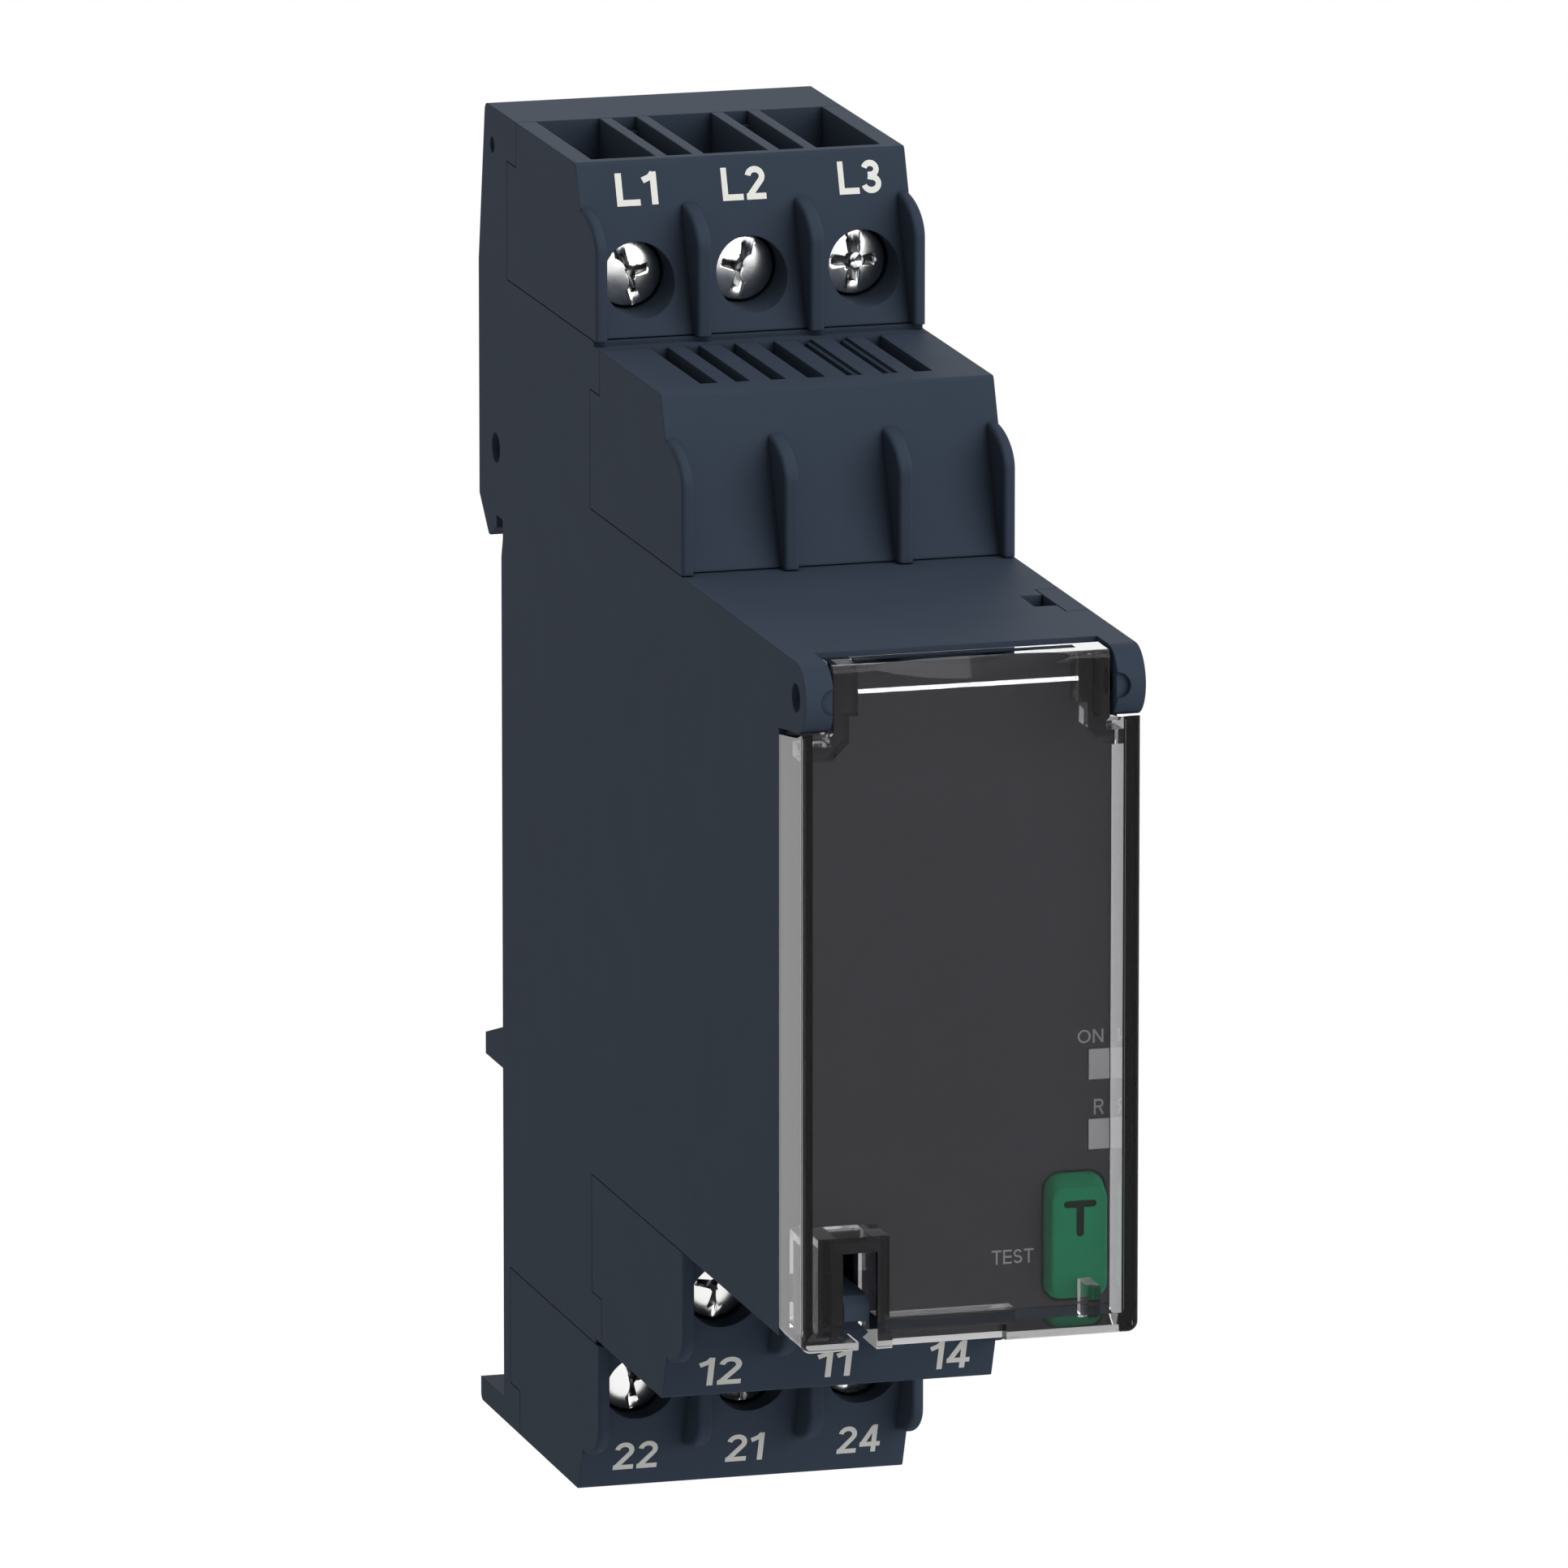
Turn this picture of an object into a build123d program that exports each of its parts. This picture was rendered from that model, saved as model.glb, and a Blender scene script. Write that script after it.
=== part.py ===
"""Three-phase control relay, 22.5 mm wide, for a 35 mm rail.

Millimetres. X runs across the width, the front looks towards -Y and +Z is up.
The origin is the middle of the face that seats on the rail.
"""

import os
from math import cos, radians, sin, sqrt

from build123d import *

os.makedirs("parts", exist_ok=True)

# Overall sizes
width = 22.5
nose_height = 45.0
panel_face = 68.0
row_shift = 20.9
wall = 1.6
side_wall = 1.5
seam = 0.08

# Back, rail hook and foot
back_depth = 5.6
back_lean = 1.75
back_corner = 0.7
back_knee = 34.0
rail_top = 17.3
rail_bottom = 17.7
hook_lip_drop = 1.65
hook_slot_depth = 1.2
foot_depth = 6.0
foot_height = 1.6
foot_corner = 0.5
seat_relief = (0.4, 1.3)
rail_margin = 5.0

# Terminal shrouds
shroud_height = 11.1
shroud_strip = 0.3
shroud_back = 1.7
shroud_top_back = 4.1
shroud_jog = 3.0
shroud_top_front = 19.1
shroud_bottom_front = 23.3
shroud_edge = 0.35
rib_front = 24.3
rib_width = 1.0
ear_width = 0.8
rib_height = 8.3
rib_shoulder = 5.9
rib_edge = 0.28
rib_root = 0.4
catch_depth = 0.7
catch_levels = (0.9, 1.9)

# Terminals
terminal_count = 3
end_margin = 3.55
screw_level = 3.6
screw_hole_r = 2.42
funnel_width = 4.4
funnel_front = 18.1
funnel_foot_front = 13.2
slot_width = 1.75
slot_depth = 3.0
chamber_width = 5.8
chamber_height = 7.0
chamber_front = 17.4
head_r = 2.2
head_rim = 19.1
head_height = 1.5
dome_height = 0.6
shank_r = 1.5
shank_chamfer = 0.4
thread_clearance = 0.06
cage_width = 5.4
cage_side = 0.7
cage_height = 5.2
cage_nut_wall = 1.7
cage_back_wall = 1.2
wire_room = 3.4
bar_front = 12.0
bar_thickness = 1.0
bar_width = 3.4
bar_gap = 0.3
drive_width = 2.9
drive_slot = 0.62
slot_cut = 0.75
drive_depth = 1.3
drive_taper = 8

# Vents
vent_pitch = 2.42
vent_count = 7
vent_wide = 1.2
vent_narrow = 0.7
vent_back = 4.3
vent_front = 16.5
vent_wall = 1.4
vent_rebate = (0.35, 0.2)

# Nose, hinge and cover
ear_r = 2.3
ear_length = 1.85
hinge_ahead = 4.0
hinge_drop = 2.3
hinge_bore_r = 0.95
hinge_clearance = 0.06
nose_lip_ahead = 1.6
nose_lip_height = 0.6
lead_in_r = 0.85
lead_in_depth = 0.35
pin_recess = 1.0
cover_depth = 5.3
cover_wall = 1.15
cover_side = 0.95
cover_rim = 0.5
cover_foot = 0.7
cover_gap = 0.25
cover_drop = 5.5
cover_flange_back = 1.35
cover_flange_top = 2.15
cover_edge = 0.3
cover_corner = 0.7
roll_wall = 1.0
roll_edge = 0.5
roll_scoop = 1.25
scoop_tilt = 35
scoop_rise = 0.67
slit_front = 1.4
slit_depth = 0.9
arm_inner = 7.3
arm_step = 0.6
arm_depth = 1.9
gusset_drops = (6.45, 5.3, 3.6)
window_inset = 2.75
window_width = 2.3
window_drop = 6.45
window_foot = 0.6
seal_notch_width = 1.25
pocket_wall = 1.0
pocket_left_wall = 1.45
pocket_roof = 0.85
pocket_depth = 3.3
fin_x = (-0.27, 0.56)
fin_height = 3.0
finger_x = (-5.2, 2.4)
finger_height = 1.1
finger_depth = 1.0
finger_wall = 0.8
hook_width = 1.7
hook_height = 1.6
hook_drop = 2.55
hook_reach = 4.45

# Front panel, button and light pipes
panel_edge = 0.35
panel_drop = 0.75
panel_gap = 0.05
panel_thickness = 1.4
latch_opening = 2.9
button_inset = 2.92
button_drop = 5.42
button_width = 4.0
button_height = 8.28
button_corner = 1.1
button_proud = 1.4
button_draft = 0.3
button_top_height = 7.2
button_top_drop = 0.2
button_travel = 0.5
button_gap = 0.15
button_edge = 0.22
flange_thickness = 0.8
rod_r = 1.1
rod_length = 3.0
lamp_inset = 1.93
lamp_width = 1.43
lamp_height = 2.0
lamp_levels = (-5.88, -10.5)
lamp_length = 1.8
stem_offset = 1.3

# Rail clip
jaw_depth = 5.6
jaw_height = 3.1
jaw_slope = 1.6
jaw_gap = 0.25
stem_width = 8.6
stem_thickness = 1.0
channel_gap = 0.2
tab_height = 1.3
coil_r = 1.1
coil_wire = 0.32
coil_turns = 6
pocket_bottom = 32.0
lug_top = 22.0
lug_height = 1.2
driver_slot = (4.0, 1.2)

# Inside
board = 1.6
board_x = 3.0
board_margin = 1.5
front_board_depth = 8.4
post_r = 1.6
post_hole_r = 0.6
relay_size = (10.4, 12.8, 28.0)
relay_pitch = 15.0
core_size = (11.5, 13.0, 17.0)
coil_size = (7.5, 16.0, 13.0)
capacitor_r = 4.0
capacitor_length = 11.0
switch_half = 2.25
plunger_r = 1.0
plunger_length = 1.8
lamp_half = 0.8

# Places worked out from the sizes above
side = width / 2
nose = nose_height / 2
mid_top = nose + shroud_height
ledges = {"rear": mid_top + shroud_strip, "front": nose}
top = ledges["rear"] + shroud_height
inner_side = side - side_wall
lid_face = side - side_wall
terminal_pitch = side - end_margin
cover_front = panel_face + cover_depth
hinge_y = -(panel_face + hinge_ahead)
hinge_z = nose - hinge_drop
cover_top = nose - cover_drop
window_left = window_inset - side
window_top = nose - window_drop
window_bottom = nose - window_foot
hook_level = nose - hook_drop
button_x = side - button_inset
button_z = button_drop - nose
lamp_left = side - lamp_inset
front_board_back = panel_face - panel_thickness - front_board_depth - 0.2
terminal_x = [(i - (terminal_count - 1) / 2) * terminal_pitch for i in range(terminal_count)]
divider_x = [x + terminal_pitch / 2 for x in terminal_x[:-1]]
clip_seat = -rail_bottom


def save(piece, name):
    """Label a finished piece and write it to its own file."""
    piece.part.label = name
    export_step(piece.part, f"parts/{name}.step")


def yz_prism(points, x_low, x_high, mode=Mode.ADD):
    """Extrude a closed side outline from one X to another inside the current part."""
    with BuildSketch(Plane.YZ.offset(x_low)) as outline:
        with BuildLine():
            Polyline(points, close=True)
        make_face()
    extrude(outline.sketch, amount=x_high - x_low, mode=mode)


def block(x, y, z, mode=Mode.ADD):
    """A box between two values of each of X, Y and Z inside the current part."""
    with Locations(((x[0] + x[1]) / 2, (y[0] + y[1]) / 2, (z[0] + z[1]) / 2)):
        Box(abs(x[1] - x[0]), abs(y[1] - y[0]), abs(z[1] - z[0]), mode=mode)


# Housing tub: left wall, back, steps and nose in one moulding, open to the right
def step_outline(sign):
    """The stepped front of the tub from its top or bottom face down to the nose, as Y, Z points."""
    rear, front = ledges["rear"], ledges["front"]
    strip = shroud_bottom_front + 3 * seam
    return [
        (-shroud_top_back, sign * top),
        (-shroud_top_back, sign * (top - shroud_jog)),
        (-shroud_back, sign * (top - shroud_jog)),
        (-shroud_back, sign * rear),
        (-strip, sign * rear),
        (-strip, sign * mid_top),
        (-shroud_top_back - row_shift, sign * mid_top),
        (-shroud_top_back - row_shift, sign * (mid_top - shroud_jog)),
        (-shroud_back - row_shift, sign * (mid_top - shroud_jog)),
        (-shroud_back - row_shift, sign * front),
    ]


def hook_outline():
    """The back of the housing behind the rail's upper edge, from the top corner down to the seat."""
    lip_tip = rail_top - hook_lip_drop
    relief, relief_height = seat_relief
    return [
        (0, rail_top - 2 * relief_height),
        (-relief, rail_top - relief_height),
        (-relief, rail_top),
        (hook_slot_depth, rail_top),
        (hook_slot_depth, lip_tip + 0.8),
        (hook_slot_depth + 1.55, lip_tip),
        (hook_slot_depth + 2.0, lip_tip),
        (back_depth, rail_top + 0.7),
        (back_depth, back_knee),
        (back_depth - back_lean, top),
    ]


foot_top = -top + foot_height
foot_outline = [(foot_depth, -top), (foot_depth, foot_top), (0, foot_top)]
tub_outline = (
    step_outline(1)
    + [(-panel_face, nose), (-panel_face, -nose)]
    + step_outline(-1)[::-1]
    + foot_outline
    + hook_outline()
)
cavity_back = wall + channel_gap
clip_wall_back = 4.6
post_spots = [
    (4.0 - front_board_back, nose - 5.5),
    (4.0 - front_board_back, 6.5 - nose),
    (-8.0, 7.7 - rail_bottom),
    (-shroud_bottom_front - 0.7, nose - 5.5),
]
cavity_outline = [
    (back_depth - back_lean - 0.8, top - wall),
    (-shroud_back + wall, top - wall),
    (-shroud_back + wall, ledges["rear"] - wall),
    (-shroud_back - row_shift + wall, ledges["rear"] - wall),
    (-shroud_back - row_shift + wall, ledges["front"] - wall),
    (-panel_face + panel_thickness, nose - wall),
    (-panel_face + panel_thickness, -nose + wall),
    (-shroud_back - row_shift + wall, -ledges["front"] + wall),
    (-shroud_back - row_shift + wall, -ledges["rear"] + wall),
    (-clip_wall_back, -ledges["rear"] + wall),
    (-clip_wall_back, rail_margin - rail_bottom),
    (-cavity_back, rail_margin - rail_bottom),
    (-cavity_back, rail_top + 2 * wall),
    (back_depth - wall, rail_top + 2 * wall),
    (back_depth - wall, back_knee),
]
tongue_y = (13.05 - panel_face, 6.05 - panel_face)
tongue_root = inner_side - 0.15
catch_x = (tongue_root - 1.5, tongue_root)
catch_y = (tongue_y[0] - 1.65, tongue_y[1] + 1.95)
mould_marks = [((1.97, 42.4), 0.55), ((1.27, 21.9), 1.02)]
mark_depth = 0.8
bar_mid = bar_front - bar_thickness / 2
bar_slot = (bar_width + 2 * bar_gap, bar_thickness + 2 * bar_gap)
rows = {"upper": (0, 1), "front": (row_shift, -1), "rear": (0, -1)}


def row_ledge(row):
    """Height of the ledge that a row of terminals stands on, with its sign."""
    shift, sign = rows[row]
    return sign * (ledges["front"] if shift else ledges["rear"])


with BuildPart() as housing_tub:
    yz_prism(tub_outline, -side, side)
    across = housing_tub.edges().filter_by(Axis.X)
    fillet(across.sort_by_distance((0, back_depth - back_lean, top))[0], back_corner)
    across = housing_tub.edges().filter_by(Axis.X)
    fillet(across.sort_by_distance((0, foot_depth, -top))[0], foot_corner)
    with BuildSketch(Plane.YZ.offset(-inner_side)):
        with BuildLine():
            Polyline(cavity_outline, close=True)
        make_face()
    extrude(amount=inner_side + side, mode=Mode.SUBTRACT)
    # front opening, with a rebate for the edge of the panel
    block(
        (-inner_side, lid_face),
        (-panel_face, -panel_face + panel_thickness),
        (-nose + wall, nose - wall),
        Mode.SUBTRACT,
    )
    block(
        (-side + panel_edge, side - panel_edge),
        (-panel_face, -panel_face + panel_thickness),
        (-nose + panel_drop, nose - panel_drop),
        Mode.SUBTRACT,
    )
    # lip over the hinge and the two ears that carry the cover's pins
    block(
        (-side, side),
        (-panel_face, -panel_face - nose_lip_ahead),
        (nose - nose_lip_height, nose),
    )
    for x_low in (-side, side - ear_length):
        with BuildSketch(Plane.YZ.offset(x_low)):
            with Locations((hinge_y, hinge_z)):
                Circle(ear_r)
            with BuildLine():
                Polyline(
                    (hinge_y, hinge_z + ear_r),
                    (hinge_y, hinge_z - ear_r),
                    (-panel_face + panel_thickness, cover_top + cover_gap),
                    (-panel_face + panel_thickness, nose),
                    close=True,
                )
            make_face()
        extrude(amount=ear_length)
    with Locations(Plane.YZ * Location((hinge_y, hinge_z, 0))):
        Cylinder(hinge_bore_r, width, mode=Mode.SUBTRACT)
    # shallow half-round mark in the front of each ear
    for x_edge in (-side + ear_length, side - ear_length):
        with BuildSketch(Plane.XZ.offset(-hinge_y + ear_r - lead_in_depth)):
            with Locations((x_edge, hinge_z)):
                Circle(lead_in_r)
        extrude(amount=ear_r, mode=Mode.SUBTRACT)
    # hook that the clear cover snaps over, rising from the bottom wall
    hook_x = window_left + window_width / 2
    hook_half = hook_width / 2
    block(
        (hook_x - hook_half, hook_x + hook_half),
        (-panel_face + panel_thickness, -panel_face),
        (-nose + 0.3, -hook_level + hook_height / 2),
    )
    block(
        (hook_x - hook_half, hook_x + hook_half),
        (-panel_face, -panel_face - 0.9),
        (-window_bottom + cover_gap, -hook_level + hook_height / 2),
    )
    yz_prism(
        [
            (-panel_face, -hook_level + hook_height / 2),
            (-panel_face - hook_reach + 0.5, -hook_level + hook_height / 2),
            (-panel_face - hook_reach, -hook_level + hook_height / 2 - 0.5),
            (-panel_face - hook_reach, -hook_level - hook_height / 2),
            (-panel_face - hook_reach + 1.4, -hook_level - hook_height / 2),
            (-panel_face - hook_reach + 1.4, -hook_level - hook_height / 2 + 0.5),
            (-panel_face, -hook_level - hook_height / 2 + 0.2),
        ],
        hook_x - hook_half,
        hook_x + hook_half,
    )
    # notch for the lid's tongue and the square catch beside it
    block((tongue_root, side), tongue_y, (nose - wall, nose), Mode.SUBTRACT)
    block(catch_x, catch_y, (nose - wall, nose), Mode.SUBTRACT)
    # slots through the ledges for the contact bars
    for row, (shift, sign) in rows.items():
        ledge = row_ledge(row)
        for x in terminal_x:
            block(
                (x - bar_slot[0] / 2, x + bar_slot[0] / 2),
                (-bar_mid - shift - bar_slot[1] / 2, -bar_mid - shift + bar_slot[1] / 2),
                (ledge, ledge - sign * wall),
                Mode.SUBTRACT,
            )
    # air opening from the chamber below the vents
    block(
        (-chamber_width, chamber_width),
        (-shroud_bottom_front - row_shift + 4, -shroud_back - row_shift - 2),
        (ledges["front"] - wall, ledges["front"]),
        Mode.SUBTRACT,
    )
    # blind moulding marks in the left side
    for (mark_y, mark_z), mark_r in mould_marks:
        with Locations(Plane.YZ.offset(-side) * Location((mark_y, mark_z, mark_depth / 2))):
            Cylinder(mark_r, mark_depth, mode=Mode.SUBTRACT)
    # channel of the rail clip, the pocket of its spring and the notch in the foot
    channel_half = stem_width / 2 + channel_gap
    block(
        (-channel_half, channel_half),
        (-stem_thickness - channel_gap, foot_depth),
        (-top, foot_top),
        Mode.SUBTRACT,
    )
    block(
        (-channel_half, channel_half),
        (-stem_thickness - channel_gap, 0),
        (foot_top, clip_seat + 0.3),
        Mode.SUBTRACT,
    )
    coil_half = coil_r + coil_wire / 2 + 0.2
    coil_y = -stem_thickness - coil_half
    block(
        (-coil_half, coil_half),
        (-stem_thickness - 2 * coil_half, -stem_thickness),
        (-pocket_bottom, -lug_top + channel_gap),
        Mode.SUBTRACT,
    )
    # posts for the main board
    for spot in post_spots:
        with Locations(Plane.YZ.offset(-inner_side) * Location((*spot, 0))):
            Cylinder(
                post_r,
                inner_side + board_x,
                align=(Align.CENTER, Align.CENTER, Align.MIN),
            )
save(housing_tub, "housing_tub")

# Side lid: closes the tub on the right and snaps in by a tongue in the nose's top
with BuildPart() as side_lid:
    with BuildSketch(Plane.YZ.offset(lid_face)):
        with BuildLine():
            Polyline(cavity_outline, close=True)
        make_face()
        offset(amount=-seam, kind=Kind.INTERSECTION, mode=Mode.REPLACE)
    extrude(amount=side_wall)
    block(
        (tongue_root + seam, side),
        (tongue_y[0] - seam, tongue_y[1] + seam),
        (nose - wall - 2 * seam, nose),
    )
save(side_lid, "side_lid")


# Terminal shrouds: snap-on covers that carry the funnels, screw holes and ribs
def shroud_outline(lower=0.0):
    """Outer side outline of a shroud in its own Y, height frame."""
    return [
        (-shroud_back - seam, lower),
        (-shroud_back - seam, shroud_height - shroud_jog - seam),
        (-shroud_top_back - seam, shroud_height - shroud_jog - seam),
        (-shroud_top_back - seam, shroud_height),
        (-shroud_top_front, shroud_height),
        (-shroud_bottom_front, lower),
    ]


def face_y(height_on_face):
    """Y of a shroud's slanted front at a height above its ledge."""
    lean = (shroud_bottom_front - shroud_top_front) / shroud_height
    return -shroud_bottom_front + lean * height_on_face


def placed(row_y, ledge, sign):
    """Side plane of a row: its X runs towards the back and its Y up from the ledge."""
    return Plane(origin=(0, -row_y, ledge), x_dir=(0, 1, 0), z_dir=(sign, 0, 0))


def rib(side_plane, sign, x, thickness):
    """One rib on a shroud's front: rounded top, upright front and softened edges."""
    root = face_y(rib_height) + rib_root
    with BuildPart() as piece:
        with BuildSketch(side_plane.offset(sign * x)):
            with BuildLine():
                EllipticalCenterArc(
                    (root, rib_shoulder),
                    rib_front + root,
                    rib_height - rib_shoulder,
                    start_angle=90,
                    arc_size=90,
                )
                Polyline((-rib_front, rib_shoulder), (-rib_front, seam), (root, seam), (root, rib_height))
            make_face()
        extrude(amount=thickness / 2, both=True)
        fillet(piece.edges().filter_by(Axis.Z).group_by(Axis.Y)[0], rib_edge)
    return piece


def shroud(row_y, ledge, sign, terminals):
    """Build one shroud on its ledge; the vent shroud has no terminals."""
    side_plane = placed(row_y, ledge, sign)
    ribs = [rib(side_plane, sign, x, rib_width) for x in divider_x]
    for x in (-side + ear_width / 2, side - ear_width / 2):
        ribs.append(rib(side_plane, sign, x, ear_width))
    with BuildPart() as piece:
        with BuildSketch(side_plane):
            with BuildLine():
                Polyline(shroud_outline(seam), close=True)
            make_face()
        extrude(amount=side, both=True)
        front_edges = piece.edges().filter_by(Axis.X).group_by(Axis.Y)[:2]
        fillet([edge for group in front_edges for edge in group if abs(edge.center().Z - ledge) > 1],
               shroud_edge)
        # ribs between the terminals and the ears at both ends
        add([upright.part for upright in ribs])
        if terminals:
            terminal_openings(side_plane, sign)
        else:
            vent_openings(side_plane, sign)
    return piece


def local_block(side_plane, sign, x, y, h, mode=Mode.SUBTRACT):
    """A box in a row's frame: X across, Y towards the back, height above the ledge."""
    centre = Location(((y[0] + y[1]) / 2, (h[0] + h[1]) / 2, sign * (x[0] + x[1]) / 2))
    with Locations(side_plane * centre):
        Box(abs(y[1] - y[0]), abs(h[1] - h[0]), abs(x[1] - x[0]), mode=mode)


def terminal_openings(side_plane, sign):
    """Chamber, wire funnel and screw hole of each terminal, and the slots between them."""
    half = chamber_width / 2
    for x in terminal_x:
        local_block(side_plane, sign, (x - half, x + half), (-chamber_front, 0), (0, chamber_height))
        with BuildSketch(side_plane.offset(sign * x)) as funnel:
            with BuildLine():
                Polyline(
                    (0, chamber_height - seam),
                    (-funnel_foot_front, chamber_height - seam),
                    (-funnel_front, shroud_height),
                    (-funnel_front, shroud_height + 1),
                    (0, shroud_height + 1),
                    close=True,
                )
            make_face()
        extrude(funnel.sketch, amount=funnel_width / 2, both=True, mode=Mode.SUBTRACT)
        with Locations(side_plane * Location((-chamber_front, screw_level, sign * x), (0, 90, 0))):
            Cylinder(screw_hole_r, 2 * (rib_front - chamber_front), mode=Mode.SUBTRACT)
    for x in divider_x:
        local_block(
            side_plane,
            sign,
            (x - slot_width / 2, x + slot_width / 2),
            (-funnel_front, 0),
            (shroud_height - slot_depth, shroud_height),
        )
        # catch across the back of the slot
        local_block(
            side_plane,
            sign,
            (x - slot_width / 2 - seam, x + slot_width / 2 + seam),
            (-shroud_top_back - catch_depth, -shroud_top_back - 2 * seam),
            (shroud_height - catch_levels[0], shroud_height - catch_levels[1]),
            Mode.ADD,
        )


def vent_openings(side_plane, sign):
    """Hollow of the vent shroud and the row of slots in its top."""
    span = terminal_pitch + chamber_width / 2
    local_block(
        side_plane, sign, (-span, span), (-chamber_front, 0), (0, shroud_height - vent_wall)
    )
    for i in range(vent_count):
        x = (i - (vent_count - 1) / 2) * vent_pitch
        half = (vent_wide if i % 3 == 0 else vent_narrow) / 2
        local_block(
            side_plane,
            sign,
            (x - half, x + half),
            (-vent_front, -vent_back),
            (shroud_height - vent_wall, shroud_height),
        )
        # shallow rebate along the outer edge of each narrow slot
        if i % 3:
            outward = 1 if x > 0 else -1
            local_block(
                side_plane,
                sign,
                (x, x + outward * (half + vent_rebate[0])),
                (-vent_front, -vent_back),
                (shroud_height - vent_rebate[1], shroud_height),
            )


upper_terminal_shroud = shroud(0, ledges["rear"], 1, True)
save(upper_terminal_shroud, "upper_terminal_shroud")
vent_shroud = shroud(row_shift, ledges["front"], 1, False)
save(vent_shroud, "vent_shroud")
lower_front_shroud = shroud(row_shift, -ledges["front"], -1, True)
save(lower_front_shroud, "lower_front_shroud")
lower_rear_shroud = shroud(0, -ledges["rear"], -1, True)
save(lower_rear_shroud, "lower_rear_shroud")

# Terminals: a screw that only turns, a cage that climbs it, and the contact bar between them
screw_turns = {
    "upper": (-20, 12, 2),
    "front": (28, -35, 15),
    "rear": (-24, 40, -8),
}


def terminal_screw(row, x, turn):
    """Pan-head screw of a terminal, with a cross recess, lying along Y."""
    shift, sign = rows[row]
    level = row_ledge(row) + sign * screw_level
    axis = Plane(origin=(x, -head_rim - shift, level), x_dir=(1, 0, 0), z_dir=(0, 1, 0)).rotated(
        (0, 0, turn)
    )
    tip = head_rim - bar_front - seam
    with BuildPart() as screw:
        with BuildSketch(Plane(origin=axis.origin, x_dir=(1, 0, 0), z_dir=(0, 0, 1))):
            with BuildLine():
                dome = (0, -dome_height)
                Polyline(dome, (0, tip), (shank_r - shank_chamfer, tip), (shank_r, tip - shank_chamfer),
                         (shank_r, head_height), (head_r, head_height), (head_r, 0))
                ThreePointArc((head_r, 0), (head_r * 0.62, -dome_height * 0.72), dome)
            make_face()
        revolve(axis=Axis(axis.origin, (0, 1, 0)))
        with BuildSketch(axis.offset(-dome_height)) as cross:
            Rectangle(drive_width, drive_slot)
            Rectangle(drive_slot, drive_width)
            Circle(drive_slot)
        extrude(cross.sketch, amount=drive_depth, taper=drive_taper, mode=Mode.SUBTRACT)
        with BuildSketch(axis.offset(-dome_height)) as slot:
            Rectangle(slot_cut, 2 * head_r + 1)
        extrude(slot.sketch, amount=dome_height * 0.8, mode=Mode.SUBTRACT)
    return screw


def clamp_cage(row, x):
    """Rising cage: a square ring round the contact bar, threaded on its front wall."""
    shift, sign = rows[row]
    level = row_ledge(row) + sign * screw_level
    nut_front = -bar_front - bar_gap - cage_nut_wall - shift
    back = -bar_front + bar_thickness + wire_room + cage_back_wall - shift
    half = cage_width / 2
    with BuildPart() as cage:
        block((x - half, x + half), (nut_front, back), (level - cage_height / 2, level + cage_height / 2))
        fillet(cage.edges().filter_by(Axis.Z), cage_side * 0.8)
        block(
            (x - half + cage_side, x + half - cage_side),
            (nut_front + cage_nut_wall, back - cage_back_wall),
            (level - cage_height / 2, level + cage_height / 2),
            Mode.SUBTRACT,
        )
        with Locations(Location((x, nut_front + cage_nut_wall / 2, level), (90, 0, 0))):
            Cylinder(shank_r + thread_clearance, cage_nut_wall * 1.2, mode=Mode.SUBTRACT)
    return cage


def contact_bar(row, x):
    """Flat copper bar from the terminal board up through its cage."""
    shift, sign = rows[row]
    ledge = row_ledge(row)
    level = ledge + sign * (screw_level + cage_height / 2 + 0.3)
    root = ledge - sign * (wall + 2 * board)
    with BuildPart() as bar:
        block(
            (x - bar_width / 2, x + bar_width / 2),
            (-bar_front - shift, -bar_front + bar_thickness - shift),
            (root, level),
        )
        chamfer(bar.edges().filter_by(Axis.X).group_by(Axis.Z)[-1 if sign > 0 else 0], 0.3)
    return bar


for row in rows:
    for i, x in enumerate(terminal_x):
        save(terminal_screw(row, x, screw_turns[row][i]), f"{row}_screw_{i + 1}")
        save(clamp_cage(row, x), f"{row}_cage_{i + 1}")
        save(contact_bar(row, x), f"{row}_contact_{i + 1}")

# Front panel: dark plate with windows for the button and the lamps
button_window = (button_width + 2 * button_gap, button_height + 2 * button_gap)
panel_half = side - panel_edge - panel_gap
panel_top = nose - panel_drop - panel_gap
with BuildPart() as front_panel:
    block((-panel_half, panel_half), (-panel_face, -panel_face + panel_thickness), (-panel_top, panel_top))
    for sign in (-1, 1):
        block(
            (sign * (side - ear_length - 2 * panel_gap), sign * side),
            (-panel_face, -panel_face + panel_thickness),
            (cover_top + cover_gap - 2 * panel_gap, nose),
            Mode.SUBTRACT,
        )
    # opening behind the whole latch window
    block(
        (hook_x - latch_opening / 2, hook_x + latch_opening / 2),
        (-panel_face, -panel_face + panel_thickness),
        (-nose, cover_gap - window_top),
        Mode.SUBTRACT,
    )
    with BuildSketch(Plane.XZ.offset(panel_face)):
        with Locations((button_x, button_z)):
            RectangleRounded(*button_window, button_corner + button_gap)
        for level in lamp_levels:
            with Locations((lamp_left + lamp_width / 2 - panel_gap, level)):
                Rectangle(lamp_width + 2 * panel_gap, lamp_height + 2 * panel_gap)
    extrude(amount=-panel_thickness, mode=Mode.SUBTRACT)
save(front_panel, "front_panel")

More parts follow.
